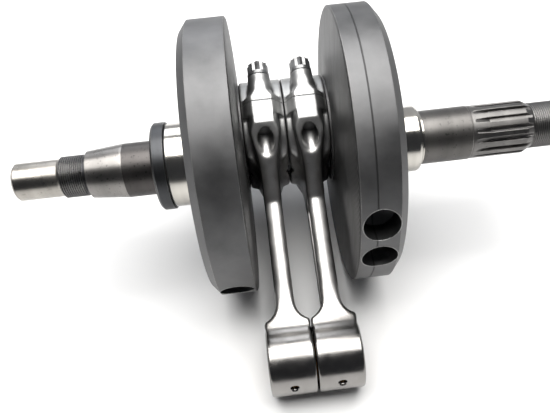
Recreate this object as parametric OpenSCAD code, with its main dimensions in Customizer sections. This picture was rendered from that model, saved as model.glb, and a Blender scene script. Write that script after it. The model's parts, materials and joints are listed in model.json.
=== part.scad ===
// Crankshaft of a V-twin engine with its two connecting rods, side by side on one crankpin.
// Millimetres. X runs along the crank axis, Z is up. The origin is on the crank axis, at the
// middle of the right main journal. At rest the webs and both small ends touch one flat plane.

/* [Crank webs] */
// Radius of the two disc webs
web_r = 65; // [61:0.5:70]
// Thickness of each web, rim chamfer included
web_t = 20.5; // [17:0.5:24]
// Axial length of the chamfer on each web's outer edge
web_chamfer_l = 3.5; // [2:0.5:5]
// Radial depth of that chamfer
web_chamfer_h = 4.3; // [2:0.1:5]
// Distance of the fine parting groove on the right web's rim from that web's inner face
rim_groove_x = 7.4; // [4:0.1:12]
// Thickness left under the recess in each outer face, on the crankpin's side
relief_floor = 4.5; // [4:0.5:12]

/* [Crankpin] */
// Stroke, which is twice the distance from the crank axis to the crankpin
stroke = 71.5; // [60:0.5:74]
// Radius of the ground crankpin
pin_r = 21; // [17:0.5:22]
// Radius of the bore through the crankpin
pin_bore_r = 13.5; // [10:0.5:14]
// Angle of the crankpin, seen from the right end, from the rear (+Y) upwards
pin_angle = -27.9; // [-35:0.1:-15]

/* [Right end] */
// Radius of the right main journal
journal_right_r = 16; // [15:0.5:18]
// Length of the right main journal
journal_right_l = 19.2; // [16:0.2:24]
// Radius of the ground shaft beyond it
shaft_right_r = 13; // [12.5:0.1:13.5]
// Length of the plain ground shaft
shaft_right_l = 24.4; // [18:0.2:30]
// Length of the spline, tooth run-outs included
spline_l = 26.7; // [20:0.1:32]
// Number of spline teeth
spline_teeth = 16; // [12:1:20]
// Nominal radius of the thread at the right end
thread_right_r = 11; // [10:0.5:11]
// Length of that thread
thread_right_l = 18; // [12:1:24]

/* [Left end] */
// Radius of the left main journal
journal_left_r = 20; // [18:0.5:22]
// Length of the left main journal
journal_left_l = 14.1; // [12:0.1:18]
// Height of the collar outside it, above the journal
collar_rise = 1; // [0.5:0.1:3]
// Length of the collar
collar_l = 6.5; // [5:0.1:9]
// Radius of the seat at the taper's large end
seat_left_r = 13; // [12.5:0.1:14]
// Length of that seat
seat_left_l = 15.9; // [12:0.1:20]
// Length of the rotor taper
taper_l = 16.6; // [14:0.1:20]
// Radius at the taper's small end
taper_small_r = 11.4; // [11:0.1:12]
// Nominal radius of the thread at the left end
thread_left_r = 10; // [9.5:0.5:10.5]
// Length of that thread
thread_left_l = 12; // [9:0.5:15]
// Radius of the pilot at the left end
pilot_r = 9; // [8:0.1:9]
// Length of the pilot
pilot_l = 21.4; // [16:0.1:26]

/* [Connecting rods] */
// Distance between the centres of a rod's two ends
rod_l = 122.3; // [116:0.1:135]
// Width of each rod along the crank axis
rod_w = 21.5; // [18:0.1:26]
// Gap between the two rods, and between each rod and its web
side_clearance = 0.2; // [0.1:0.05:0.4]
// Steel round the bearing shells in the big end
big_end_wall = 6.1; // [5.5:0.1:8]
// Steel round the bush in the small end
small_end_wall = 4.1; // [3:0.1:6]
// Radius of the gudgeon pin's bore in the bush
gudgeon_r = 10; // [9:0.1:10.5]
// Wall of the small end's bush
bush_wall = 1.5; // [1.2:0.1:2]
// Wall of a big end's bearing shell
shell_wall = 1.5; // [1:0.1:1.8]
// Radial running clearance between shell and crankpin
shell_clearance = 0.03; // [0.02:0.01:0.08]
// Thickness of the rod's beam along the crank axis
beam_t = 9.2; // [8:0.1:12]
// Steel between the shells' bore and the dowels round the cap bolts
dowel_wall = 0.4; // [0.4:0.1:2]
// Width of the flat ground on each side of the joint between rod and cap
joint_flat_w = 9.8; // [8:0.1:12]
// Nominal radius of the cap bolts
bolt_r = 4; // [3.5:0.1:4.2]

/* [Hidden] */
$fn = 96;

// Sizes along the crank axis, counted from the middle of the gap between the webs
pin_boss_h = 0.9;
web_inner = rod_w + side_clearance * 1.5 + pin_boss_h;
web_outer = web_inner + web_t;
mid_x = -(web_outer + journal_right_l / 2);
journal_right_end = web_outer + journal_right_l;
shaft_right_end = journal_right_end + shaft_right_l;
spline_end = shaft_right_end + spline_l;
spline_chamfer_l = 4.5;
thread_right_start = spline_end + spline_chamfer_l;
crank_right_end = thread_right_start + thread_right_l;
journal_left_end = web_outer + journal_left_l;
collar_end = journal_left_end + collar_l;
seat_left_end = collar_end + seat_left_l;
taper_end = seat_left_end + taper_l;
groove_end = taper_end + 2;
thread_left_end = groove_end + thread_left_l;
crank_left_end = thread_left_end + pilot_l;

// Details of the crankshaft
edge = 1;
rim_groove_w = 0.5;
rim_groove_depth = 0.25;
collar_r = journal_left_r + collar_rise;
journal_fillet = 2.5;
journal_left_fillet = 5;
journal_edge = 1.8;
thread_pitch = 1;
thread_depth = 0.6;
groove_r = 9.4;
centre_hole_r = 3.2;
pin_boss_r = pin_r + 6.5;
relief_depth = web_t - relief_floor;
relief_inner_r = journal_left_r + journal_left_fillet + 0.5;
relief_outer_r = web_r - web_chamfer_h - 2.5;
relief_span = 170;
plug_r = pin_bore_r + 1.5;
plug_t = 4;
plug_recess = 1;
plug_boss_wall = 2.5;
spline_depth = 1.9;
spline_relief = 0.2;
spline_runout = 9;
balance_hole_r = 8;
balance_hole_depth = 11;
balance_hole_inset = web_chamfer_l + balance_hole_r - 0.1;
key_w = 4;
key_r = 6.5;
key_rise = 1.6;
key_angle = -60;

// Details of the rods
housing_r = pin_r + shell_clearance + shell_wall;
shell_w = rod_w - 3;
big_end_r = housing_r + big_end_wall;
bush_r = gudgeon_r + bush_wall;
bush_w = rod_w - 1;
small_end_r = bush_r + small_end_wall;
eye_chamfer = 0.7;
oil_hole_r = 1.7;
oil_hole_angle = 26;
beam_web_t = 4;
beam_flange = 2.6;
beam_top_half = 11.5;
beam_low_half = 9;
beam_pocket_r = 4;
neck_top_r = 16;
neck_low_r = 13;
flare_top_r = 11;
flare_low_r = 9;
flare_top = 7.6 - big_end_r;
flare_low = small_end_r + 1.4;
cap_hole_r = bolt_r + 0.1;
dowel_r = cap_hole_r + 0.6;
dowel_half = 3;
bolt_offset = housing_r + dowel_wall + dowel_r;
boss_flat = bolt_r + 1.7;
boss_rod_r = sqrt(pow(boss_flat, 2) + pow(joint_flat_w / 2, 2));
boss_cap_r = boss_flat + 0.5;
boss_seat_r = boss_flat + 0.05;
boss_face = bolt_offset + boss_flat;
boss_root = bolt_offset - 10;
flange_centre = boss_face - sqrt(pow(rod_w / 2, 2) - pow(joint_flat_w / 2, 2));
flange_cap_h = 3.4;
flange_rod_h = 7.5;
flat_bottom = -12.5;
ridge_slope = 56;
ridge_end = -33;
bolt_seat = 16.5;
bolt_flange_r = bolt_r * 1.4;
bolt_flange_t = 1.8;
bolt_head_r = bolt_r * 1.33;
bolt_head_t = 5.4;
bolt_tip = -14;
bolt_hole_bottom = -30;
seat_pocket_r = bolt_flange_r + 0.6;
crown_groove_w = 9;
crown_groove_depth = 3;
crown_groove_span = 84;

// Place of the crankpin, and the tilt that lets the small ends rest on the plane
throw = stroke / 2;
pin_y = throw * cos(pin_angle);
pin_z = throw * sin(pin_angle);
rod_drop = asin((web_r - small_end_r + pin_z) / rod_l);

// Colours
forged = [0.42, 0.42, 0.43];
ground = [0.72, 0.72, 0.73];
polished = [0.8, 0.8, 0.81];
dark_steel = [0.2, 0.2, 0.21];
bronze = [0.66, 0.5, 0.28];
bearing_metal = [0.6, 0.6, 0.58];

// ---- Helpers ----

// Turn a profile drawn with x along the crank axis and y as the radius
module turned() {
    rotate([90, 0, 90])
        rotate_extrude()
            rotate([0, 0, 90])
                mirror([0, 1])
                    children();
}

// Cylinder along the crank axis, from x0 to x1
module along_x(r, x0, x1) {
    translate([x0, 0, 0])
        rotate([0, 90, 0])
            cylinder(r = r, h = x1 - x0);
}

// Extrude a drawing in the Y-Z plane along the crank axis, centred on x = 0
module across(w) {
    rotate([90, 0, 90])
        linear_extrude(w, center = true)
            children();
}

module at_pin() {
    translate([mid_x, pin_y, pin_z])
        children();
}

// Ridge points of a thread's profile, from x0 outwards
function ridges(x0, r, n, dir) = [
    for (i = [0:n - 1], k = [0:2])
        [x0 + dir * thread_pitch * (i + [0, 0.45, 0.55][k]), r - [thread_depth, 0, 0][k]]
];

// ---- Crankshaft ----

module web_profile() {
    polygon([
        [web_inner, 0], [web_inner, web_r - edge], [web_inner + edge / 2, web_r],
        [web_outer - web_chamfer_l, web_r], [web_outer, web_r - web_chamfer_h], [web_outer, 0]
    ]);
}

// Fine groove round the right rim, where the forging's parting line was dressed
module rim_groove_profile() {
    x0 = web_inner + rim_groove_x;
    polygon([
        [x0 - rim_groove_w / 2, web_r + 0.1], [x0 + rim_groove_w / 2, web_r + 0.1],
        [x0, web_r - rim_groove_depth]
    ]);
}

// Fillet between a journal of radius r and the web's outer face
module journal_fillet_profile(r, fillet) {
    difference() {
        translate([web_outer - 0.5, r - 0.5])
            square(fillet + 0.5);
        translate([web_outer + fillet, r + fillet])
            circle(fillet);
    }
}

module right_shaft_profile() {
    turns = floor((thread_right_l - 1) / thread_pitch);
    polygon(concat(
        [
            [web_inner, 0], [web_inner, journal_right_r],
            [journal_right_end - journal_edge, journal_right_r],
            [journal_right_end - journal_edge / 3, journal_right_r - journal_edge / 3],
            [journal_right_end, journal_right_r - journal_edge], [journal_right_end, shaft_right_r],
            [shaft_right_end, shaft_right_r], [shaft_right_end, shaft_right_r - spline_relief],
            [spline_end, shaft_right_r - spline_relief],
            [thread_right_start, thread_right_r - thread_depth],
        ],
        ridges(thread_right_start, thread_right_r, turns, 1),
        [
            [thread_right_start + turns * thread_pitch, thread_right_r - thread_depth],
            [crank_right_end - 1, thread_right_r - thread_depth],
            [crank_right_end, thread_right_r - thread_depth - 1], [crank_right_end, 0]
        ]
    ));
}

// Drawn with x growing towards the left end, and mirrored when it is turned
module left_shaft_profile() {
    turns = floor((thread_left_l - 0.5) / thread_pitch);
    polygon(concat(
        [
            [web_inner, 0], [web_inner, journal_left_r], [journal_left_end, journal_left_r],
            [journal_left_end, collar_r - edge / 2], [journal_left_end + edge / 2, collar_r],
            [collar_end - edge, collar_r], [collar_end, collar_r - edge],
            [collar_end, seat_left_r], [seat_left_end, seat_left_r],
            [taper_end, taper_small_r], [taper_end, groove_r], [groove_end, groove_r],
            [groove_end, thread_left_r - thread_depth],
        ],
        ridges(groove_end, thread_left_r, turns, 1),
        [
            [groove_end + turns * thread_pitch, thread_left_r - thread_depth],
            [thread_left_end, pilot_r],
            [crank_left_end - edge, pilot_r], [crank_left_end, pilot_r - edge],
            [crank_left_end, 0]
        ]
    ));
}

// Gap between two spline teeth: straight over the tooth length, then rising out of the shaft
module spline_gap() {
    root = shaft_right_r - spline_depth;
    half = PI * shaft_right_r / spline_teeth / 2;
    start = shaft_right_end + spline_runout;
    gap = [[-half * 0.62, root], [half * 0.62, root], [half * 1.25, root + 3], [-half * 1.25, root + 3]];
    translate([start, 0, 0])
        rotate([90, 0, 90])
            linear_extrude(spline_end + spline_chamfer_l - start)
                polygon(gap);
    rise = atan((spline_depth + 0.2) / spline_runout);
    translate([start, 0, root])
        rotate([0, rise, 0])
            translate([-spline_runout * 1.2, 0, -root])
                rotate([90, 0, 90])
                    linear_extrude(spline_runout * 1.2 + 0.3)
                        polygon(gap);
}

// Crescent recess in a web's outer face, on the crankpin's side and clear of its boss
module outer_relief() {
    difference() {
        rotate([pin_angle - relief_span / 2, 0, 0])
            translate([web_outer - relief_depth, 0, 0])
                rotate([90, 0, 90])
                    rotate_extrude(angle = relief_span)
                        translate([relief_inner_r, 0])
                            square([relief_outer_r - relief_inner_r, relief_depth + 1]);
        translate([0, pin_y, pin_z])
            along_x(plug_r + plug_boss_wall, 0, web_outer + 2);
    }
}

// Radial balance hole in a web's rim, at an angle from the rear (+Y) upwards
module balance_hole(x, angle) {
    rotate([angle, 0, 0])
        translate([x, web_r + 1, 0])
            rotate([90, 0, 0])
                union() {
                    cylinder(r = balance_hole_r, h = balance_hole_depth + 1);
                    translate([0, 0, balance_hole_depth + 1])
                        cylinder(r1 = balance_hole_r, r2 = 0.4, h = 3);
                }
}

// Half-round pocket, or key, on the rotor taper
module key_shape(w, r, rise) {
    key_x = -(seat_left_end + taper_l * 0.45);
    seat = (seat_left_r + taper_small_r) / 2;
    rotate([key_angle, 0, 0])
        translate([key_x, seat + rise, 0])
            intersection() {
                translate([0, -rise, 0])
                    translate([0, 2.2, -w / 2])
                        cylinder(r = r, h = w);
                translate([-r, -2 * r, -w])
                    cube([2 * r, 2 * r, 2 * w]);
            }
}

module centre_hole() {
    translate([-0.01, 0, 0])
        rotate([0, 90, 0])
            union() {
                cylinder(r1 = centre_hole_r, r2 = 1.2, h = 3.5);
                cylinder(r = 1.2, h = 7);
            }
}

module crank_solid() {
    turned()
        difference() {
            union() {
                web_profile();
                right_shaft_profile();
                journal_fillet_profile(journal_right_r, journal_fillet);
            }
            rim_groove_profile();
        }
    mirror([1, 0, 0])
        turned()
            union() {
                web_profile();
                left_shaft_profile();
                journal_fillet_profile(journal_left_r, journal_left_fillet);
            }
    translate([0, pin_y, pin_z])
        along_x(pin_r, -web_inner - 1, web_inner + 1);
    for (side = [0, 1])
        mirror([side, 0, 0])
            translate([0, pin_y, pin_z])
                intersection() {
                    along_x(pin_boss_r, web_inner - pin_boss_h, web_inner + 1);
                    translate([0, -pin_y, -pin_z])
                        along_x(web_r - edge, web_inner - pin_boss_h, web_inner + 1);
                }
}

module crank_cuts() {
    translate([0, pin_y, pin_z])
        along_x(pin_bore_r, -web_outer - 1, web_outer + 1);
    for (side = [0, 1])
        mirror([side, 0, 0]) {
            outer_relief();
            translate([0, pin_y, pin_z])
                along_x(plug_r, web_outer - plug_t - plug_recess, web_outer + 1);
        }
    for (i = [0:spline_teeth - 1])
        rotate([i * 360 / spline_teeth, 0, 0])
            spline_gap();
    for (angle = [166, 183.5])
        balance_hole(web_outer - balance_hole_inset, angle);
    balance_hole(balance_hole_inset - web_outer, 202);
    key_shape(key_w, key_r, 3);
    translate([-crank_left_end, 0, 0])
        centre_hole();
    translate([crank_right_end, 0, 0])
        mirror([1, 0, 0])
            centre_hole();
}

module crankshaft() {
    color(forged)
        translate([mid_x, 0, 0])
            difference() {
                crank_solid();
                crank_cuts();
            }
}

// Plug that closes one end of the bore in the crankpin, with a hexagon socket
module crankpin_plug(side) {
    color(dark_steel)
        at_pin()
            mirror([side, 0, 0])
                difference() {
                    along_x(plug_r, web_outer - plug_t - plug_recess, web_outer - plug_recess);
                    translate([web_outer - plug_recess - 3, 0, 0])
                        rotate([0, 90, 0])
                            cylinder(r = 5, h = 4, $fn = 6);
                }
}

module rotor_key() {
    color(dark_steel)
        translate([mid_x, 0, 0])
            key_shape(key_w, key_r, key_rise);
}

// ---- Connecting rods ----
// A rod is drawn upright: cap on top, small end below, big end's centre at the origin.

module rod_place(side) {
    at_pin()
        translate([side * (side_clearance + rod_w) / 2, 0, 0])
            rotate([rod_drop - 90, 0, 0])
                children();
}

// Stretch between a round end of radius r at the origin and a beam of half width w below it
module neck(r, w, fillet) {
    cy = -sqrt(pow(r + fillet, 2) - pow(w + fillet, 2));
    for (s = [-1, 1])
        difference() {
            polygon([[0, 0], [0, cy], [s * (w + fillet), cy]]);
            translate([s * (w + fillet), cy])
                circle(fillet);
        }
}

// Outline of the forging, seen along the crank axis
module rod_outline() {
    top = -sqrt(pow(big_end_r + neck_top_r, 2) - pow(beam_top_half + neck_top_r, 2));
    low = -rod_l + sqrt(pow(small_end_r + neck_low_r, 2) - pow(beam_low_half + neck_low_r, 2));
    circle(big_end_r);
    translate([0, -rod_l])
        circle(small_end_r);
    neck(big_end_r, beam_top_half, neck_top_r);
    translate([0, -rod_l])
        mirror([0, 1])
            neck(small_end_r, beam_low_half, neck_low_r);
    polygon([
        [-beam_top_half, top + 0.5], [beam_top_half, top + 0.5],
        [beam_low_half, low - 0.5], [-beam_low_half, low - 0.5]
    ]);
}

// Space beside the beam that makes it slimmer than the two ends, with rounded corners
module waist() {
    low = -rod_l + flare_low;
    x0 = beam_t / 2;
    difference() {
        translate([x0, low])
            square([rod_w, flare_top - low]);
        translate([x0, flare_top - flare_top_r])
            square(flare_top_r);
        translate([x0, low])
            square(flare_low_r);
    }
    intersection() {
        translate([x0 + flare_top_r, flare_top - flare_top_r])
            circle(flare_top_r);
        translate([x0, flare_top - flare_top_r])
            square(flare_top_r);
    }
    intersection() {
        translate([x0 + flare_low_r, low + flare_low_r])
            circle(flare_low_r);
        translate([x0, low])
            square(flare_low_r);
    }
}

// Long pocket in the side of the beam, which leaves an I section
module beam_pocket() {
    top = -big_end_r - 17.4;
    low = -rod_l + small_end_r + 15.4;
    w_top = beam_top_half - beam_flange;
    w_low = beam_low_half - beam_flange;
    polygon([[-w_top, top], [w_top, top], [w_low, low], [-w_low, low]]);
    translate([0, low])
        circle(w_low);
    for (s = [-1, 1])
        translate([s * (w_top - beam_pocket_r), top])
            circle(beam_pocket_r);
    translate([beam_pocket_r - w_top, top])
        square([2 * (w_top - beam_pocket_r), beam_pocket_r]);
}

// Everything on one side of the rod that lies within the flat ground on its bosses
module inside_flat() {
    translate([-rod_w, -boss_face, -rod_l])
        cube([2 * rod_w, 2 * boss_face, 2 * rod_l]);
}

// Flange at the joint, as wide as the rod and rounded towards the flat
module joint_flange(s) {
    for (z = [[-flange_rod_h, flange_rod_h], [0, flange_cap_h]])
        translate([0, 0, z[0]])
            union() {
                translate([0, s * flange_centre, 0])
                    cylinder(r = rod_w / 2, h = z[1]);
                translate([-rod_w / 2, s > 0 ? boss_root : -flange_centre, 0])
                    cube([rod_w, flange_centre - boss_root, z[1]]);
            }
}

// Round boss along a cap bolt, narrower towards the bolt's seat
module cap_boss(s) {
    shoulder = flange_cap_h + 3.2;
    neck_end = shoulder + 2.6;
    translate([0, s * bolt_offset, 0])
        union() {
            translate([0, 0, flange_cap_h - 0.4])
                cylinder(r1 = boss_rod_r, r2 = boss_cap_r, h = shoulder - flange_cap_h + 0.4);
            translate([0, 0, shoulder])
                cylinder(r = boss_cap_r, h = neck_end - shoulder);
            translate([0, 0, neck_end])
                cylinder(r1 = boss_cap_r, r2 = boss_seat_r, h = 4);
            translate([0, 0, neck_end + 4])
                cylinder(r = boss_seat_r, h = bolt_seat - neck_end - 4);
        }
    translate([-boss_seat_r, s > 0 ? boss_root : -bolt_offset, 0])
        cube([2 * boss_seat_r, bolt_offset - boss_root, bolt_seat]);
}

// Ridge that carries a bolt on the rod's side, sloping and narrowing into the beam
module rod_ridge(s) {
    run = boss_face - beam_top_half + 1;
    half = boss_rod_r;
    tail = beam_t / 2;
    rotate([0, 0, s > 0 ? 0 : 180])
        intersection() {
            union() {
                translate([0, bolt_offset, -rod_l])
                    cylinder(r = half, h = rod_l);
                translate([-half, 0, -rod_l])
                    cube([2 * half, bolt_offset, rod_l]);
            }
            across(2 * half + 2)
                polygon([
                    [0, 0], [boss_face, 0], [boss_face, flat_bottom],
                    [boss_face - run, flat_bottom - run * tan(ridge_slope)], [0, flat_bottom - run * tan(ridge_slope)]
                ]);
            rotate([90, 0, 0])
                linear_extrude(200, center = true)
                    polygon([
                        [-half, 1], [half, 1], [half, flat_bottom], [half - 0.8, flat_bottom - 7],
                        [tail + 0.5, ridge_end + 7], [tail, ridge_end], [tail, -rod_l / 2],
                        [-tail, -rod_l / 2], [-tail, ridge_end], [-tail - 0.5, ridge_end + 7],
                        [0.8 - half, flat_bottom - 7], [-half, flat_bottom]
                    ]);
        }
}

module rod_blank() {
    intersection() {
        across(rod_w)
            rod_outline();
        rotate([90, 0, 0])
            linear_extrude(200, center = true)
                difference() {
                    translate([-rod_w / 2, -rod_l - 50])
                        square([rod_w, rod_l + 100]);
                    waist();
                    mirror([1, 0])
                        waist();
                }
    }
    intersection() {
        for (s = [-1, 1]) {
            joint_flange(s);
            cap_boss(s);
            rod_ridge(s);
        }
        inside_flat();
    }
}

module rod_holes() {
    across(rod_w + 2)
        union() {
            circle(housing_r);
            translate([0, -rod_l])
                circle(bush_r);
        }
    for (s = [-1, 1]) {
        translate([0, s * bolt_offset, bolt_hole_bottom])
            cylinder(r = bolt_r, h = -bolt_hole_bottom);
        translate([0, s * bolt_offset, 0])
            cylinder(r = cap_hole_r, h = bolt_seat + 1);
        translate([0, s * bolt_offset, bolt_seat])
            cylinder(r = seat_pocket_r, h = 20);
        translate([0, s * bolt_offset, -dowel_half])
            cylinder(r = dowel_r, h = 2 * dowel_half);
    }
}

module oil_holes() {
    for (s = [-1, 1])
        translate([0, 0, -rod_l])
            rotate([s * oil_hole_angle, 0, 0])
                mirror([0, 0, 1])
                    union() {
                        cylinder(r = oil_hole_r, h = small_end_r + 1);
                        translate([0, 0, small_end_r - 0.9])
                            cylinder(r1 = oil_hole_r, r2 = oil_hole_r + 1.5, h = 1.5);
                    }
}

// Ring of triangular section that bevels both edges of the small end
module eye_bevels() {
    for (side = [0, 1])
        mirror([side, 0, 0])
            translate([0, 0, -rod_l])
                turned()
                    polygon([
                        [rod_w / 2 - eye_chamfer, small_end_r], [rod_w / 2, small_end_r - eye_chamfer],
                        [rod_w / 2 + 1, small_end_r - eye_chamfer], [rod_w / 2 + 1, small_end_r + 1],
                        [rod_w / 2 - eye_chamfer, small_end_r + 1]
                    ]);
}

module rod_forging() {
    difference() {
        rod_blank();
        rod_holes();
        oil_holes();
        eye_bevels();
        for (side = [0, 1])
            mirror([side, 0, 0])
                translate([beam_web_t / 2 + 5, 0, 0])
                    across(10)
                        beam_pocket();
    }
}

module rod_body(side) {
    color(polished)
        rod_place(side)
            intersection() {
                rod_forging();
                translate([-rod_w, -60, -rod_l - 40])
                    cube([2 * rod_w, 120, rod_l + 40]);
            }
}

module rod_cap(side) {
    color(polished)
        rod_place(side)
            difference() {
                intersection() {
                    rod_forging();
                    translate([-rod_w, -60, 0])
                        cube([2 * rod_w, 120, 60]);
                }
                crown_groove();
            }
}

// Groove that lightens the cap between its two bolts
module crown_groove() {
    rotate([90 - crown_groove_span / 2, 0, 0])
        rotate([90, 0, 90])
            rotate_extrude(angle = crown_groove_span)
                translate([big_end_r - crown_groove_depth, -crown_groove_w / 2])
                    square([crown_groove_depth + 1, crown_groove_w]);
}

// Half bearing shell: end 0 lies in the rod, end 1 in the cap
module rod_shell(side, end) {
    color(bearing_metal)
        rod_place(side)
            mirror([0, 0, 1 - end])
                rotate([90, 0, 90])
                    rotate_extrude(angle = 180)
                        translate([pin_r + shell_clearance, -shell_w / 2])
                            square([shell_wall, shell_w]);
}

module rod_bush(side) {
    color(bronze)
        rod_place(side)
            difference() {
                translate([0, 0, -rod_l])
                    along_x(bush_r, -bush_w / 2, bush_w / 2);
                translate([0, 0, -rod_l])
                    along_x(gudgeon_r, -rod_w, rod_w);
                oil_holes();
            }
}

// Twelve-point cap bolt with a flange: end -1 faces the front, end 1 the rear
module rod_bolt(side, end) {
    color(dark_steel)
        rod_place(side)
            translate([0, end * bolt_offset, 0])
                union() {
                    translate([0, 0, bolt_tip])
                        cylinder(r = bolt_r, h = bolt_seat - bolt_tip);
                    translate([0, 0, bolt_seat])
                        cylinder(r = bolt_flange_r, h = bolt_flange_t);
                    for (turn = [0, 30])
                        rotate([0, 0, turn])
                            translate([0, 0, bolt_seat])
                                cylinder(r = bolt_head_r, h = bolt_flange_t + bolt_head_t, $fn = 6);
                }
}

// Hollow dowel that lines up rod and cap round a bolt
module rod_dowel(side, end) {
    color(dark_steel)
        rod_place(side)
            translate([0, end * bolt_offset, -dowel_half])
                difference() {
                    cylinder(r = dowel_r, h = 2 * dowel_half);
                    translate([0, 0, -1])
                        cylinder(r = cap_hole_r, h = 2 * dowel_half + 2);
                }
}

crankshaft();
crankpin_plug(1);  // crankpin_plug_left
crankpin_plug(0);  // crankpin_plug_right
rotor_key();
rod_body(-1);  // rod_left_body
rod_cap(-1);  // rod_left_cap
rod_shell(-1, 0);  // rod_left_shell_rod_side
rod_shell(-1, 1);  // rod_left_shell_cap_side
rod_bush(-1);  // rod_left_bush
rod_bolt(-1, -1);  // rod_left_bolt_front
rod_bolt(-1, 1);  // rod_left_bolt_rear
rod_dowel(-1, -1);  // rod_left_dowel_front
rod_dowel(-1, 1);  // rod_left_dowel_rear
rod_body(1);  // rod_right_body
rod_cap(1);  // rod_right_cap
rod_shell(1, 0);  // rod_right_shell_rod_side
rod_shell(1, 1);  // rod_right_shell_cap_side
rod_bush(1);  // rod_right_bush
rod_bolt(1, -1);  // rod_right_bolt_front
rod_bolt(1, 1);  // rod_right_bolt_rear
rod_dowel(1, -1);  // rod_right_dowel_front
rod_dowel(1, 1);  // rod_right_dowel_rear
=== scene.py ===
"""Crankshaft with two connecting rods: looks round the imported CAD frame. Metres, in the CAD frame."""
import json
import math

import bmesh
import bpy
import numpy as np
from mathutils import Matrix, Vector


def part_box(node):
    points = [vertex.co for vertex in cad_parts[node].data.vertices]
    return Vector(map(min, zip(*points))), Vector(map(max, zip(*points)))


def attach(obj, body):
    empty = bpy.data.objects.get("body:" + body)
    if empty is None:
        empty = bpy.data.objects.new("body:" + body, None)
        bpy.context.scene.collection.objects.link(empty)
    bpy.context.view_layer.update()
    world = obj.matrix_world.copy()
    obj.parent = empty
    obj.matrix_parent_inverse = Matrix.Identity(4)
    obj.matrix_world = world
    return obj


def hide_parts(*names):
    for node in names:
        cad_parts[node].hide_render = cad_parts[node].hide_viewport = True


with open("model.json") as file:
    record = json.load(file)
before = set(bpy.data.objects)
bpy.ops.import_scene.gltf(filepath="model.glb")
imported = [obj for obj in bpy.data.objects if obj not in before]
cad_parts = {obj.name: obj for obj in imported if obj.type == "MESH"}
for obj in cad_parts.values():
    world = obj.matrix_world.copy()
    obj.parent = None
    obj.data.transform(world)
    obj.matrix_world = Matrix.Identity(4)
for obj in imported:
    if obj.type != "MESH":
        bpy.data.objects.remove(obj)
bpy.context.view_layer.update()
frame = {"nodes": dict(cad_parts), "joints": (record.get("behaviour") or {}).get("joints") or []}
NODES = frame["nodes"]
MM = 0.001

# ---- Sizes taken from the frame ----
crank_lo, crank_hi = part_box("crankshaft")
FLOOR_Z = crank_lo.z
WEB_R = crank_hi.z
MID_X = (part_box("rod_left_body")[1].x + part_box("rod_right_body")[0].x) / 2
joint = next(j for j in frame["joints"] if j["name"] == "rod_left_swing")
PIN = Vector(joint["pos_m"])
bush_lo, bush_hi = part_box("rod_left_bush")
EYE = Vector((0, (bush_lo.y + bush_hi.y) / 2, (bush_lo.z + bush_hi.z) / 2))
ROD_L = math.hypot(EYE.y - PIN.y, EYE.z - PIN.z)
DROP = math.atan2(PIN.z - EYE.z, PIN.y - EYE.y)
BUSH_R = (bush_hi.z - bush_lo.z) / 2
ROD_HALF = (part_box("rod_left_body")[1].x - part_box("rod_left_body")[0].x) / 2
# Bore of the big end, half the beam's width, and the grid and edge rounding of the forgings
HOUSING_R = 22.53 * MM
BEAM_HALF = 4.6 * MM
VOXEL = 0.45 * MM
BEAM_CROWN = 1.2 * MM
# Balance holes in the webs' rims, and the bead round their mouths
HOLE_R = 8.0 * MM
HOLE_X = 31.8 * MM
LIP_R = 0.18 * MM
LIP_SINK = 0.12 * MM


# ---- Camera ----
def add_camera():
    place = Vector((-0.064591, -0.203970, 0.204018))
    right = Vector((0.992752, -0.111626, -0.044526))
    up = Vector((0.116086, 0.794821, 0.595637))
    back = right.cross(up)
    data = bpy.data.cameras.new("camera")
    data.sensor_width = 36
    data.lens = 38.286
    data.shift_x = -0.0340
    data.shift_y = 0.0577
    data.clip_start = 0.01
    cam = bpy.data.objects.new("camera", data)
    bpy.context.scene.collection.objects.link(cam)
    turn = Matrix((right, up, back)).transposed()
    cam.matrix_world = Matrix.Translation(place) @ turn.to_4x4()
    bpy.context.scene.camera = cam


# ---- Light ----
def add_area(name, place, target, size_x, size_y, power, tint=(1, 1, 1)):
    data = bpy.data.lights.new(name, "AREA")
    data.shape = "RECTANGLE"
    data.size = size_x
    data.size_y = size_y
    data.energy = power
    data.color = tint
    lamp = bpy.data.objects.new(name, data)
    bpy.context.scene.collection.objects.link(lamp)
    place = Vector(place)
    aim = (Vector(target) - place).to_track_quat("-Z", "Y")
    lamp.matrix_world = Matrix.Translation(place) @ aim.to_matrix().to_4x4()


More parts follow.
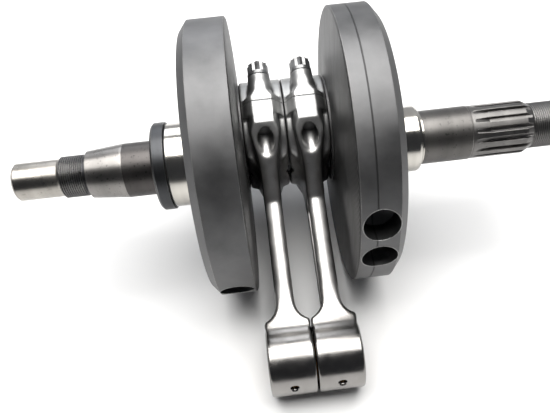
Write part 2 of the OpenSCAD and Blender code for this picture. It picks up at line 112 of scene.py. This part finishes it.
# ---- Shader helpers ----
class Shader:
    """A node material with one Principled BSDF, in object coordinates."""

    def __init__(self, name, **sockets):
        self.material = bpy.data.materials.new(name)
        self.material.use_nodes = True
        self.tree = self.material.node_tree
        self.bsdf = self.tree.nodes["Principled BSDF"]
        for key, value in sockets.items():
            self.bsdf.inputs[key.replace("_", " ")].default_value = value
        self.coords = self.node("ShaderNodeTexCoord").outputs["Object"]

    def node(self, kind, **settings):
        made = self.tree.nodes.new(kind)
        for key, value in settings.items():
            setattr(made, key, value)
        return made

    def link(self, source, target):
        self.tree.links.new(source, target)

    def noise(self, scale, detail=3, roughness=0.55, stretch=(1, 1, 1)):
        spread = self.node("ShaderNodeMapping")
        spread.inputs["Scale"].default_value = stretch
        self.link(self.coords, spread.inputs["Vector"])
        made = self.node("ShaderNodeTexNoise")
        made.inputs["Scale"].default_value = scale
        made.inputs["Detail"].default_value = detail
        made.inputs["Roughness"].default_value = roughness
        self.link(spread.outputs["Vector"], made.inputs["Vector"])
        return made.outputs["Fac"]

    def ramp(self, fac, stops, interpolation="LINEAR"):
        made = self.node("ShaderNodeValToRGB")
        made.color_ramp.interpolation = interpolation
        elements = made.color_ramp.elements
        while len(elements) > 1:
            elements.remove(elements[-1])
        for i, (place, colour) in enumerate(stops):
            item = elements[0] if i == 0 else elements.new(place)
            item.position = place
            item.color = (*colour, 1) if isinstance(colour, tuple) else (colour, colour, colour, 1)
        self.link(fac, made.inputs["Fac"])
        return made.outputs["Color"]

    def spread(self, value, low, high, out_low, out_high):
        made = self.node("ShaderNodeMapRange")
        limits = {"From Min": low, "From Max": high, "To Min": out_low, "To Max": out_high}
        for key, number in limits.items():
            made.inputs[key].default_value = number
        self.link(value, made.inputs["Value"])
        return made.outputs["Result"]

    def maths(self, kind, a, b=None, clamp=False):
        made = self.node("ShaderNodeMath", operation=kind, use_clamp=clamp)
        for socket, value in zip(made.inputs, (a, b)):
            if value is None:
                continue
            if isinstance(value, (int, float)):
                socket.default_value = value
            else:
                self.link(value, socket)
        return made.outputs[0]

    def blend(self, fac, a, b, mode="MIX"):
        made = self.node("ShaderNodeMix", data_type="RGBA", blend_type=mode)
        if isinstance(fac, (int, float)):
            made.inputs[0].default_value = fac
        else:
            self.link(fac, made.inputs[0])
        for socket, value in ((made.inputs[6], a), (made.inputs[7], b)):
            if isinstance(value, tuple):
                socket.default_value = (*value, 1)
            else:
                self.link(value, socket)
        return made.outputs[2]

    def axes(self):
        made = self.node("ShaderNodeSeparateXYZ")
        self.link(self.coords, made.inputs["Vector"])
        return made.outputs["X"], made.outputs["Y"], made.outputs["Z"]

    def facing_x(self):
        """How squarely a surface faces along the crank axis, 0 to 1."""
        split = self.node("ShaderNodeSeparateXYZ")
        self.link(self.node("ShaderNodeNewGeometry").outputs["Normal"], split.inputs["Vector"])
        return self.maths("ABSOLUTE", split.outputs["X"])

    def bump(self, *layers):
        """Layers of (height, distance in metres, strength), stacked."""
        normal = None
        for height, distance, strength in layers:
            made = self.node("ShaderNodeBump")
            made.inputs["Distance"].default_value = distance
            made.inputs["Strength"].default_value = strength
            self.link(height, made.inputs["Height"])
            if normal is not None:
                self.link(normal, made.inputs["Normal"])
            normal = made.outputs["Normal"]
        self.link(normal, self.bsdf.inputs["Normal"])

    def colour(self, value):
        self.link(value, self.bsdf.inputs["Base Color"])

    def rough(self, value):
        self.link(value, self.bsdf.inputs["Roughness"])


def dress(node, material):
    for entry in NODES[node].material_slots:
        entry.material = material


# ---- Materials ----
# Stretches of the crankshaft along its axis: end of the stretch in mm from the middle
# between the webs, colour, roughness, share of fine dark specks. The webs' own stretch runs a little
# way into the journals' fillets.
SHAFT = [
    (-131.0, (0.30, 0.28, 0.26), 0.30, 0.2),
    (-110.3, (0.38, 0.36, 0.33), 0.30, 0.4),
    (-98.3, (0.045, 0.045, 0.048), 0.40, 0.2),
    (-96.3, (0.03, 0.03, 0.032), 0.42, 0.1),
    (-79.7, (0.24, 0.23, 0.22), 0.30, 0.6),
    (-63.9, (0.075, 0.07, 0.068), 0.38, 1.0),
    (-57.2, (0.07, 0.072, 0.076), 0.38, 0.3),
    (-45.0, (0.52, 0.50, 0.46), 0.15, 0.1),
    (45.0, (0.135, 0.135, 0.137), 0.50, 0.0),
    (62.5, (0.55, 0.53, 0.49), 0.14, 0.2),
    (77.7, (0.125, 0.12, 0.115), 0.40, 0.6),
    (78.1, (0.38, 0.365, 0.35), 0.32, 0.0),
    (86.8, (0.125, 0.12, 0.115), 0.40, 0.6),
    (118.0, (0.17, 0.165, 0.16), 0.36, 0.5),
    (140.0, (0.045, 0.045, 0.045), 0.42, 0.2),
]
SPAN = 140.0
# Fine groove on the right rim, inner faces of the webs, and the cutter's sweep marks on them
RIM_GROOVE = 30.1 * MM
INNER_FACE = 22.75 * MM
SWEEP_CENTRE = (-58 * MM, 62 * MM)
SWEEP_R = 34 * MM
SWEEP_PITCH = 3.0 * MM


def along(mm):
    return (mm + SPAN) / (2 * SPAN)


def shaft_ramp(s, fac, column):
    stops = []
    start = -SPAN
    for row in SHAFT:
        stops.append((along(start), row[column]))
        start = row[0]
    return s.ramp(fac, stops, "CONSTANT")


def crank_steel():
    s = Shader("crank_steel", Metallic=1.0)
    x, y, z = s.axes()
    fac = s.spread(x, MID_X - SPAN * MM, MID_X + SPAN * MM, 0, 1)
    web = s.maths("LESS_THAN", s.maths("ABSOLUTE", s.maths("SUBTRACT", x, MID_X)), 43.25 * MM)
    radius = s.maths("SQRT", s.maths("ADD", s.maths("MULTIPLY", y, y), s.maths("MULTIPLY", z, z)))
    # turned steel: fine rings that change along the axis only
    rings = s.noise(900, 2, stretch=(1, 0.02, 0.02))
    broad = s.noise(110, 3, stretch=(1, 0.05, 0.05))
    mottle = s.noise(45, 5)
    speck = s.noise(700, 3)
    turned = s.ramp(broad, [(0.3, 0.78), (0.7, 1.15)])
    forged = s.ramp(mottle, [(0.3, 0.72), (0.7, 1.28)])
    tone = s.blend(web, turned, forged)
    base = s.blend(1.0, shaft_ramp(s, fac, 1), tone, "MULTIPLY")
    pits = s.spread(speck, 0.62, 0.72, 0, 1)
    scratch = shaft_ramp(s, fac, 3)
    base = s.blend(s.maths("MULTIPLY", pits, scratch), base, (0.02, 0.02, 0.02))
    # worn edges are brighter
    rounded = s.node("ShaderNodeBevel", samples=4)
    rounded.inputs["Radius"].default_value = 0.0005
    facing = s.node("ShaderNodeVectorMath", operation="DOT_PRODUCT")
    geometry = s.node("ShaderNodeNewGeometry")
    s.link(rounded.outputs["Normal"], facing.inputs[0])
    s.link(geometry.outputs["Normal"], facing.inputs[1])
    edge = s.spread(facing.outputs["Value"], 0.995, 0.93, 0, 1)
    edge = s.maths("MULTIPLY", edge, s.spread(mottle, 0.35, 0.6, 0.1, 0.8))
    off_groove = s.maths("ABSOLUTE", s.maths("SUBTRACT", x, MID_X + RIM_GROOVE))
    edge = s.maths("MULTIPLY", edge, s.spread(off_groove, 0.5 * MM, 0.9 * MM, 0, 1))
    # painted shade: a thin dark line is painted into the colour along the fine groove on the right rim
    base = s.blend(s.spread(off_groove, 0.25 * MM, 0.5 * MM, 0.6, 0), base, (0.03, 0.03, 0.03))
    inner = s.maths("LESS_THAN", s.maths("ABSOLUTE", s.maths("SUBTRACT", x, MID_X)), INNER_FACE)
    arcs = s.ramp(s.noise(260, 3, stretch=(0.05, 1, 0.25)), [(0.35, 0.72), (0.65, 1.0)])
    base = s.blend(s.maths("MULTIPLY", inner, web), base, s.blend(1.0, base, arcs, "MULTIPLY"))
    sweep_y = s.maths("SUBTRACT", y, SWEEP_CENTRE[0])
    sweep_z = s.maths("SUBTRACT", z, SWEEP_CENTRE[1])
    sweep = s.maths("SQRT", s.maths("ADD", s.maths("POWER", sweep_y, 2), s.maths("POWER", sweep_z, 2)))
    marks = s.maths("SINE", s.maths("MULTIPLY", sweep, 2 * math.pi / SWEEP_PITCH))
    near = s.spread(s.maths("ABSOLUTE", s.maths("SUBTRACT", sweep, SWEEP_R)), 12 * MM, 24 * MM, 0.7, 0)
    near = s.maths("MULTIPLY", near, s.maths("MULTIPLY", inner, web))
    tint = s.ramp(marks, [(0.0, (0.045, 0.045, 0.045)), (1.0, (0.34, 0.335, 0.33))])
    base = s.blend(near, base, tint)
    s.colour(s.blend(edge, base, (0.40, 0.39, 0.38)))
    rough = s.maths("ADD", shaft_ramp(s, fac, 2), s.spread(mottle, 0.3, 0.7, -0.05, 0.06))
    s.rough(s.maths("SUBTRACT", rough, s.maths("MULTIPLY", edge, 0.1), clamp=True))
    turning = s.node("ShaderNodeTexWave", wave_type="BANDS", bands_direction="X", wave_profile="SIN")
    turning.inputs["Scale"].default_value = 420
    turning.inputs["Distortion"].default_value = 1.5
    made = s.node("ShaderNodeCombineXYZ")
    s.link(s.maths("ADD", radius, x), made.inputs["X"])
    s.link(made.outputs["Vector"], turning.inputs["Vector"])
    first = s.node("ShaderNodeBump")
    first.inputs["Distance"].default_value = 0.00001
    first.inputs["Strength"].default_value = 0.35
    s.link(rings, first.inputs["Height"])
    s.link(rounded.outputs["Normal"], first.inputs["Normal"])
    second = s.node("ShaderNodeBump")
    second.inputs["Distance"].default_value = 0.00001
    second.inputs["Strength"].default_value = 0.25
    s.link(turning.outputs["Fac"], second.inputs["Height"])
    s.link(first.outputs["Normal"], second.inputs["Normal"])
    third = s.node("ShaderNodeBump")
    third.inputs["Distance"].default_value = 0.00006
    third.inputs["Strength"].default_value = 0.35
    s.link(s.noise(420, 4), third.inputs["Height"])
    s.link(second.outputs["Normal"], third.inputs["Normal"])
    s.link(third.outputs["Normal"], s.bsdf.inputs["Normal"])
    return s.material


def polished_steel():
    """Rod steel: satin big end, bright beam, and a small end darkened in the colour as painted shade,
    so it reflects less of the overhead light.
    """
    s = Shader("polished_steel", Metallic=1.0)
    _, y, z = s.axes()
    from_pin_y = s.maths("MULTIPLY", s.maths("SUBTRACT", y, PIN.y), math.cos(DROP) * -1)
    from_pin_z = s.maths("MULTIPLY", s.maths("SUBTRACT", z, PIN.z), math.sin(DROP) * -1)
    reach = s.maths("ADD", from_pin_y, from_pin_z)
    beam = s.spread(reach, 14 * MM, 26 * MM, 0, 1)
    eye = s.spread(reach, ROD_L - 30 * MM, ROD_L - 18 * MM, 0, 1)
    cloud = s.noise(70, 4)
    speck = s.noise(1500, 2)
    big = s.ramp(cloud, [(0.3, (0.34, 0.34, 0.335)), (0.7, (0.42, 0.42, 0.415))])
    middle = s.ramp(cloud, [(0.3, (0.52, 0.51, 0.50)), (0.7, (0.62, 0.61, 0.60))])
    # painted shade: the small end gets a darker colour so its reflection of the overhead light is
    # dimmer
    small = s.ramp(cloud, [(0.3, (0.25, 0.24, 0.23)), (0.7, (0.32, 0.31, 0.30))])
    base = s.blend(eye, s.blend(beam, big, middle), small)
    # painted shade: faces turned along the crank axis, the rods' flanks, are darkened in the colour
    flank_shade = s.spread(s.facing_x(), 0.60, 1.0, 0, 1)
    base = s.blend(flank_shade, base, s.blend(1.0, base, (0.30, 0.30, 0.31), "MULTIPLY"))
    s.colour(s.blend(s.spread(speck, 0.68, 0.76, 0, 0.6), base, (0.06, 0.06, 0.06)))
    grain = s.spread(s.noise(160, 5), 0.3, 0.75, -0.05, 0.07)
    sheen = s.maths("ADD", s.spread(beam, 0, 1, 0.42, 0.34), s.spread(eye, 0, 1, 0, -0.12))
    s.rough(s.maths("ADD", sheen, grain))
    s.bump((s.noise(120, 4), 0.00018, 0.2), (s.noise(900, 2), 0.00002, 0.25))
    return s.material


def bolt_steel():
    s = Shader("bolt_steel", Metallic=1.0)
    s.colour(s.ramp(s.noise(300, 4), [(0.35, (0.19, 0.19, 0.19)), (0.72, (0.31, 0.31, 0.315))]))
    s.rough(s.spread(s.noise(500, 3), 0.3, 0.7, 0.30, 0.42))
    s.bump((s.noise(2000, 2), 0.00002, 0.4))
    return s.material


def lip_steel():
    s = Shader("lip_steel", Metallic=1.0)
    s.colour(s.ramp(s.noise(400, 3), [(0.3, (0.25, 0.25, 0.25)), (0.7, (0.36, 0.36, 0.355))]))
    s.rough(s.spread(s.noise(600, 3), 0.3, 0.7, 0.24, 0.36))
    return s.material


def blackened_steel():
    s = Shader("blackened_steel", Metallic=1.0)
    cloud = s.noise(300, 4)
    s.colour(s.ramp(cloud, [(0.35, (0.03, 0.03, 0.032)), (0.72, (0.11, 0.11, 0.115))]))
    s.rough(s.spread(s.noise(500, 3), 0.3, 0.7, 0.30, 0.45))
    s.bump((s.noise(2000, 2), 0.00002, 0.4))
    return s.material


def bush_bronze():
    s = Shader("bush_bronze", Metallic=1.0)
    s.colour(s.ramp(s.noise(200, 4), [(0.3, (0.40, 0.25, 0.11)), (0.7, (0.58, 0.40, 0.20))]))
    s.rough(s.spread(s.noise(400, 3), 0.3, 0.7, 0.22, 0.38))
    s.bump((s.noise(1500, 2, stretch=(1, 0.05, 0.05)), 0.00002, 0.4))
    return s.material


def shell_metal():
    s = Shader("shell_metal", Metallic=1.0)
    s.colour(s.ramp(s.noise(150, 4), [(0.3, (0.42, 0.42, 0.41)), (0.7, (0.55, 0.55, 0.53))]))
    s.rough(s.spread(s.noise(400, 3), 0.3, 0.7, 0.28, 0.42))
    s.bump((s.noise(1500, 2, stretch=(1, 0.05, 0.05)), 0.00002, 0.4))
    return s.material


def table_white():
    s = Shader("table_white", Roughness=0.55)
    s.colour(s.ramp(s.noise(6.0), [(0.3, (0.84, 0.84, 0.84)), (0.7, (0.86, 0.86, 0.86))]))
    return s.material


# ---- Rod forgings: the CAD shape with soft, polished edges ----
def rod_frame(side):
    """From the rod's own axes (z up the rod, x along the pin) to the CAD frame."""
    lo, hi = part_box(f"rod_{side}_body")
    centre = Vector(((lo.x + hi.x) / 2, PIN.y, PIN.z))
    return Matrix.Translation(centre) @ Matrix.Rotation(DROP - math.pi / 2, 4, "X")


def smooth_step(value, low, high):
    t = np.clip((value - low) / (high - low), 0, 1)
    return t * t * (3 - 2 * t)


def relax(points, edges, weight, rounds, pull=0.5):
    count = np.bincount(edges.ravel(), minlength=len(points))[:, None]
    for _ in range(rounds):
        total = np.zeros_like(points)
        for axis in range(3):
            total[:, axis] += np.bincount(edges[:, 0], points[edges[:, 1], axis], len(points))
            total[:, axis] += np.bincount(edges[:, 1], points[edges[:, 0], axis], len(points))
        points = points + pull * weight[:, None] * (total / count - points)
    return points


def forging(node, side, body, material):
    to_cad = rod_frame(side)
    mesh = NODES[node].data.copy()
    mesh.transform(to_cad.inverted())
    temp = bpy.data.objects.new("temp", mesh)
    bpy.context.scene.collection.objects.link(temp)
    remesh = temp.modifiers.new("voxels", "REMESH")
    remesh.mode = "VOXEL"
    remesh.voxel_size = VOXEL
    depsgraph = bpy.context.evaluated_depsgraph_get()
    made = bpy.data.meshes.new_from_object(temp.evaluated_get(depsgraph))
    bpy.data.objects.remove(temp)
    count = len(made.vertices)
    flat = np.zeros(count * 3)
    made.vertices.foreach_get("co", flat)
    points = flat.reshape(-1, 3)
    pairs = np.zeros(len(made.edges) * 2, dtype=np.int64)
    made.edges.foreach_get("vertices", pairs)
    edges = pairs.reshape(-1, 2)
    rest = points.copy()
    eye_r = np.hypot(rest[:, 1], rest[:, 2] + ROD_L)
    pin_r = np.hypot(rest[:, 1], rest[:, 2])
    in_eye = np.abs(eye_r - BUSH_R) < VOXEL * 0.7
    in_pin = pin_r < HOUSING_R + VOXEL * 0.7
    on_joint = np.abs(rest[:, 2]) < VOXEL * 0.7
    free = 1.0 - np.maximum(np.maximum(in_eye, in_pin), on_joint)
    points = relax(points, edges, free, 3)
    # the beam and the necks have well rounded edges
    height = rest[:, 2]
    soft = smooth_step(-height, 16 * MM, 30 * MM)
    soft *= 1 - smooth_step(-height, ROD_L - 20 * MM, ROD_L - 15 * MM)
    side_x = np.clip(np.abs(rest[:, 0]) / BEAM_HALF, 0, 1)
    beam = smooth_step(-height, 22 * MM, 36 * MM)
    beam *= 1 - smooth_step(-height, ROD_L - 34 * MM, ROD_L - 22 * MM)
    half = 9 * MM + 2.5 * MM * np.clip((ROD_L + height) / ROD_L, 0, 1)
    outer = smooth_step(np.abs(rest[:, 1]) / half, 0.6, 0.95)
    points[:, 1] -= np.sign(rest[:, 1]) * beam * outer * BEAM_CROWN * side_x**2
    points = relax(points, edges, free * (0.08 + 0.92 * soft), 40)
    for mask, centre_z, radius in ((in_eye, -ROD_L, BUSH_R), (in_pin, 0.0, HOUSING_R)):
        y = points[mask, 1]
        z = points[mask, 2] - centre_z
        scale = radius / np.maximum(np.hypot(y, z), 1e-9)
        points[mask, 1] = y * scale
        points[mask, 2] = z * scale + centre_z
    points[on_joint, 2] = 0
    points[:, 0] = np.clip(points[:, 0], -ROD_HALF, ROD_HALF)
    made.vertices.foreach_set("co", points.ravel())
    made.transform(to_cad)
    made.materials.clear()
    made.materials.append(material)
    made.shade_smooth()
    piece = bpy.data.objects.new(node + "_forging", made)
    bpy.context.scene.collection.objects.link(piece)
    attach(piece, body)
    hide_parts(node)
    return piece


# ---- Burnished lips round the balance holes ----
def rim_radius(x):
    """Radius of a web's rim at a distance from the middle between the webs."""
    over = max(0.0, abs(x) - 39.7 * MM)
    return WEB_R - over * 4.3 / 3.5


def hole_lip(name, x, degrees, material):
    turn = math.radians(degrees)
    out = Vector((0, math.cos(turn), math.sin(turn)))
    round_way = Vector((0, -math.sin(turn), math.cos(turn)))
    curve = bpy.data.curves.new(name, "CURVE")
    curve.dimensions = "3D"
    curve.bevel_depth = LIP_R
    curve.bevel_resolution = 3
    spline = curve.splines.new("POLY")
    steps = 96
    spline.points.add(steps - 1)
    for i in range(steps):
        a = 2 * math.pi * i / steps
        px = x + HOLE_R * math.cos(a)
        across = HOLE_R * math.sin(a)
        reach = math.sqrt(rim_radius(px) ** 2 - across**2) - LIP_SINK
        place = out * reach + round_way * across
        spline.points[i].co = (MID_X + px, place.y, place.z, 1)
    spline.use_cyclic_u = True
    piece = bpy.data.objects.new(name, curve)
    bpy.context.scene.collection.objects.link(piece)
    curve.materials.append(material)
    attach(piece, "crank")


# ---- Scene ----
def add_floor():
    bm = bmesh.new()
    bmesh.ops.create_grid(bm, x_segments=1, y_segments=1, size=3.0)
    mesh = bpy.data.meshes.new("floor")
    bm.to_mesh(mesh)
    bm.free()
    floor = bpy.data.objects.new("floor", mesh)
    floor.location = (0, 0, FLOOR_Z - 0.05 * MM)
    bpy.context.scene.collection.objects.link(floor)
    floor.data.materials.append(table_white())


def add_room():
    """A room that is dark in front and lighter behind, above a white table."""
    world = bpy.data.worlds.new("room")
    world.use_nodes = True
    tree = world.node_tree
    sky = tree.nodes["Background"]
    coords = tree.nodes.new("ShaderNodeTexCoord")
    split = tree.nodes.new("ShaderNodeSeparateXYZ")
    spread = tree.nodes.new("ShaderNodeMapRange")
    ramp = tree.nodes.new("ShaderNodeValToRGB")
    spread.inputs["From Min"].default_value = -1
    tree.links.new(coords.outputs["Generated"], split.inputs["Vector"])
    tree.links.new(split.outputs["Y"], spread.inputs["Value"])
    tree.links.new(spread.outputs["Result"], ramp.inputs["Fac"])
    tree.links.new(ramp.outputs["Color"], sky.inputs["Color"])
    elements = ramp.color_ramp.elements
    elements[0].position = 0.40
    elements[0].color = (0.04, 0.042, 0.047, 1)
    elements[1].position = 0.85
    elements[1].color = (0.55, 0.56, 0.58, 1)
    sky.inputs["Strength"].default_value = 1.0
    bpy.context.scene.world = world


add_camera()
add_room()
add_area("overhead", (-0.05, 0.12, 1.0), (-0.05, 0.0, 0), 1.3, 0.95, 24, (1.0, 0.99, 0.97))
add_area("window", (-0.3, 1.3, 0.8), (-0.05, 0, 0), 0.8, 0.8, 5, (0.93, 0.96, 1.0))
add_floor()

crank = crank_steel()
bright = polished_steel()
dark = blackened_steel()
bolts = bolt_steel()
bronze = bush_bronze()
shell = shell_metal()
for name in NODES:
    if name == "crankshaft":
        dress(name, crank)
    elif "shell" in name:
        dress(name, shell)
    elif "bolt" in name:
        dress(name, bolts)
    elif "bush" in name:
        dress(name, bronze)
    elif name.endswith("body") or name.endswith("cap"):
        dress(name, bright)
    else:
        dress(name, dark)
for side in ("left", "right"):
    for part in ("body", "cap"):
        forging(f"rod_{side}_{part}", side, f"rod_{side}", bright)
lip = lip_steel()
hole_lip("hole_lip_upper", HOLE_X, 166, lip)
hole_lip("hole_lip_lower", HOLE_X, 183.5, lip)
hole_lip("hole_lip_left", -HOLE_X, 202, lip)

bpy.context.scene.view_settings.view_transform = "Standard"
